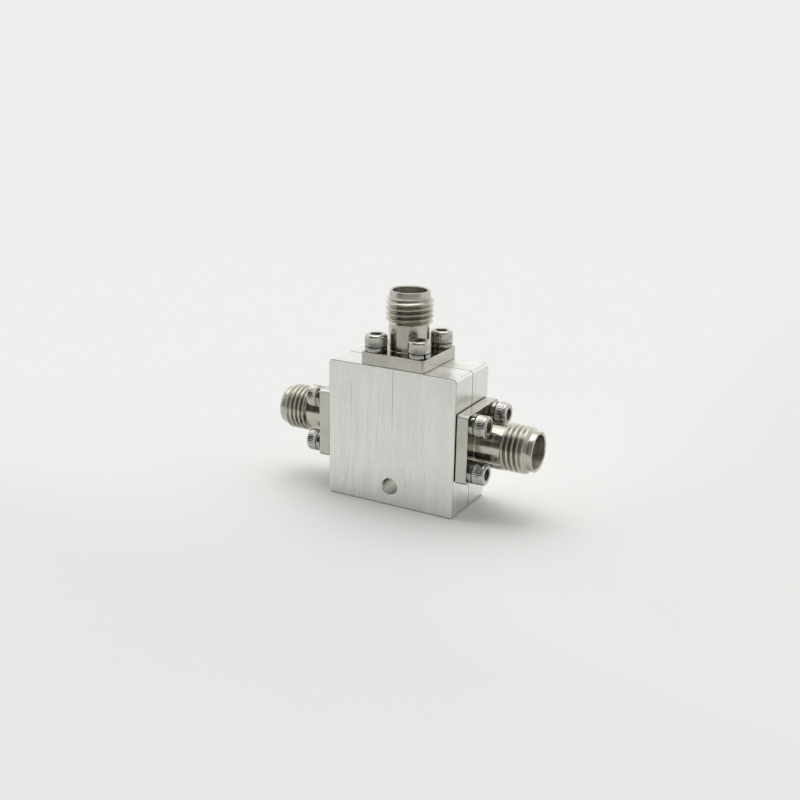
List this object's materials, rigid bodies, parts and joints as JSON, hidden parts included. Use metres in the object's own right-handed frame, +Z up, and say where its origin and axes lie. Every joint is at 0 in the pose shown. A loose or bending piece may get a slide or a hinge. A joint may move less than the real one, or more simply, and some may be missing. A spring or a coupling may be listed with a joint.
{
  "type": "rf mixer",
  "caption": "Small split metal block that holds a radio-frequency mixer, with a flanged, threaded coaxial jack on its left, right and top and a mounting hole near its foot.",
  "frame": {"origin": "centre of the block's bottom face", "axes": "+Z up through the top jack, +X out through the right jack, -Y out of the plain front face"},
  "size_m": [0.0384, 0.0098, 0.0289],
  "materials": {
    "housing": "brushed",
    "jack": "polished, with satin flange edges",
    "screw": "bright, knurled heads",
    "gold": "gold plated",
    "bead": "turned",
    "seal_glass": "fused",
    "ceramic": "ground",
    "chip": "polished",
    "absorber": "matt"
  },
  "bodies": {
    "root": {"front_housing": "housing", "rear_cover": "housing", "cover_screws": "screw", "alignment_pins": "screw", "carrier_plate": "gold", "metal_strips": "gold", "mixer_chip": "chip", "bond_ribbons": "gold", "absorber_sheet": "absorber", "left_jack_body": "jack", "left_contact": "gold", "left_contact_tail": "gold", "left_support_bead": "bead", "left_rear_bushing": "jack", "left_seal_ring": "gold", "left_seal_glass": "seal_glass", "left_seal_pin": "gold", "left_jack_screws": "screw", "left_lock_washers": "screw", "left_ceramic_line": "ceramic", "top_jack_body": "jack", "top_contact": "gold", "top_contact_tail": "gold", "top_support_bead": "bead", "top_rear_bushing": "jack", "top_seal_ring": "gold", "top_seal_glass": "seal_glass", "top_seal_pin": "gold", "top_jack_screws": "screw", "top_lock_washers": "screw", "top_ceramic_line": "ceramic", "right_jack_body": "jack", "right_contact": "gold", "right_contact_tail": "gold", "right_support_bead": "bead", "right_rear_bushing": "jack", "right_seal_ring": "gold", "right_seal_glass": "seal_glass", "right_seal_pin": "gold", "right_jack_screws": "screw", "right_lock_washers": "screw", "right_ceramic_line": "ceramic"}
  },
  "joints": []
}
